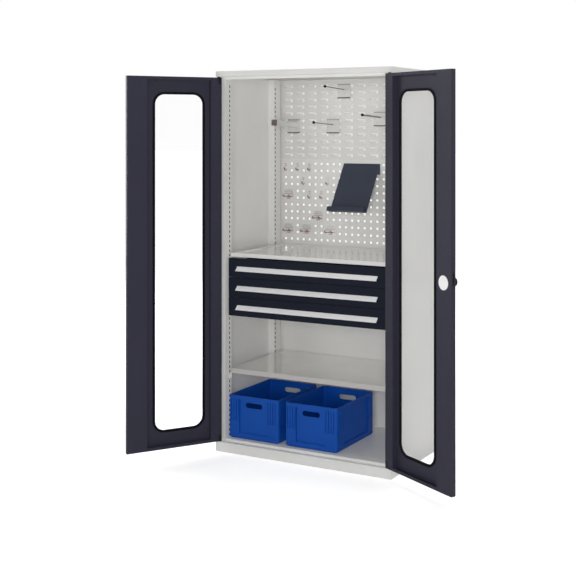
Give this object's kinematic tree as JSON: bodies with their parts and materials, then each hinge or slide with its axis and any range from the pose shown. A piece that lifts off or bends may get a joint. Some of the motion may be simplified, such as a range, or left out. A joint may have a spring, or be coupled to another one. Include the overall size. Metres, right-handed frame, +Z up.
{
  "type": "tool cabinet with doors",
  "caption": "Tall steel tool cabinet with two glazed hinged doors, shelves, drawers, a louvred and perforated back with hooks and arms, a document holder and stacking crates.",
  "frame": {"origin": "centre of the plinth's footprint, on the floor", "axes": "+Z up, +X to the right of someone facing the doors, -Y out of the front; both doors stand open at rest"},
  "size_m": [1.6826, 1.0054, 1.95],
  "materials": {
    "light_grey_paint": "light grey textured powder coat",
    "galvanised_sheet": "smooth bright galvanised sheet",
    "anthracite_paint": "anthracite textured powder coat",
    "anodised_aluminium": "satin anodised extrusion",
    "zinc_steel": "bright zinc plate",
    "black_steel": "black finish",
    "black_plastic": "black moulded plastic",
    "brown_plastic": "brown moulded plastic",
    "black_rubber": "black extruded rubber",
    "clear_pane": "clear polished pane",
    "white_plastic": "white moulded plastic",
    "blue_plastic": "blue moulded plastic"
  },
  "bodies": {
    "cabinet": {"plinth": "light_grey_paint", "cap": "light_grey_paint", "header_rail": "light_grey_paint", "side_wall_left": "light_grey_paint", "side_wall_right": "light_grey_paint", "front_upright_left": "light_grey_paint", "front_upright_right": "light_grey_paint", "rear_upright_left": "light_grey_paint", "rear_upright_right": "light_grey_paint", "floor_pan": "light_grey_paint", "perforated_panel": "light_grey_paint", "louvre_panel": "light_grey_paint", "lower_panel": "light_grey_paint", "upper_shelf": "galvanised_sheet", "middle_shelf": "galvanised_sheet", "shelf_clips": "zinc_steel", "drawer_runners": "zinc_steel", "hinge_pins": "black_steel", "document_holder": "anthracite_paint", "single_hooks": "zinc_steel", "double_hooks": "zinc_steel", "rod_arms": "zinc_steel", "arm_end_balls": "black_plastic", "tube_arm": "zinc_steel", "tube_arm_plug": "brown_plastic"},
    "door_left": {"door_left_leaf": "anthracite_paint", "door_left_hinge_box": "anthracite_paint", "door_left_bushes": "black_plastic", "door_left_lock_box": "anthracite_paint", "door_left_gasket": "black_rubber", "door_left_pane": "clear_pane"},
    "door_right": {"door_right_leaf": "anthracite_paint", "door_right_hinge_box": "anthracite_paint", "door_right_bushes": "black_plastic", "door_right_lock_box": "anthracite_paint", "door_right_gasket": "black_rubber", "door_right_pane": "clear_pane", "lock_rosette": "black_plastic", "lock_cover": "white_plastic", "lock_rod_guides": "black_plastic", "lock_bolt_guides": "black_plastic"},
    "lock_knob": {"lock_knob": "black_plastic", "lock_spindle": "zinc_steel"},
    "lock_rod_upper": {"lock_rod_upper": "zinc_steel"},
    "lock_rod_lower": {"lock_rod_lower": "zinc_steel"},
    "lock_bolt": {"lock_bolt": "zinc_steel"},
    "crate_left": {"crate_left": "blue_plastic"},
    "crate_right": {"crate_right": "blue_plastic"},
    "drawer_1": {"drawer_1_front": "anthracite_paint", "drawer_1_handle": "anodised_aluminium", "drawer_1_tray": "anthracite_paint", "drawer_1_slides": "zinc_steel"},
    "drawer_2": {"drawer_2_front": "anthracite_paint", "drawer_2_handle": "anodised_aluminium", "drawer_2_tray": "anthracite_paint", "drawer_2_slides": "zinc_steel"},
    "drawer_3": {"drawer_3_front": "anthracite_paint", "drawer_3_handle": "anodised_aluminium", "drawer_3_tray": "anthracite_paint", "drawer_3_slides": "zinc_steel"}
  },
  "joints": [
    {"name": "left_door_hinge", "type": "hinge", "parent": "cabinet", "child": "door_left", "pos_m": [-0.488, -0.292, 0.9855], "axis": [0, 0, -1], "range_deg": [-124, 51]},
    {"name": "right_door_hinge", "type": "hinge", "parent": "cabinet", "child": "door_right", "pos_m": [0.488, -0.292, 0.9855], "axis": [0, 0, 1], "range_deg": [-151.2, 23.8]},
    {"name": "drawer_1_slide", "type": "slide", "parent": "cabinet", "child": "drawer_1", "axis": [0, -1, 0], "range_m": [0, 0.42]},
    {"name": "drawer_2_slide", "type": "slide", "parent": "cabinet", "child": "drawer_2", "axis": [0, -1, 0], "range_m": [0, 0.42]},
    {"name": "drawer_3_slide", "type": "slide", "parent": "cabinet", "child": "drawer_3", "axis": [0, -1, 0], "range_m": [0, 0.42]},
    {"name": "lock_knob_turn", "type": "hinge", "parent": "door_right", "child": "lock_knob", "pos_m": [0.87217, -0.49407, 0.98], "axis": [-0.4818, -0.8763, 0], "range_deg": [0, 90]},
    {"name": "lock_rod_upper_slide", "type": "slide", "parent": "door_right", "child": "lock_rod_upper", "axis": [0, 0, 1], "range_m": [0, 0.02199]},
    {"name": "lock_rod_lower_slide", "type": "slide", "parent": "door_right", "child": "lock_rod_lower", "axis": [0, 0, -1], "range_m": [0, 0.022]},
    {"name": "lock_bolt_slide", "type": "slide", "parent": "door_right", "child": "lock_bolt", "axis": [0.8763, -0.4818, 0], "range_m": [0, 0.012]},
    {"name": "crate_left_pull", "type": "slide", "parent": "cabinet", "child": "crate_left", "axis": [0, -1, 0], "range_m": [0, 0.4]},
    {"name": "crate_right_pull", "type": "slide", "parent": "cabinet", "child": "crate_right", "axis": [0, -1, 0], "range_m": [0, 0.4]}
  ],
  "couplings": [
    {"joint": "lock_rod_lower_slide", "follows": "lock_rod_upper_slide", "ratio": 1},
    {"joint": "lock_knob_turn", "follows": "lock_rod_upper_slide", "rad_per_m": 71.429},
    {"joint": "lock_bolt_slide", "follows": "lock_rod_upper_slide", "ratio": 0.54286}
  ]
}
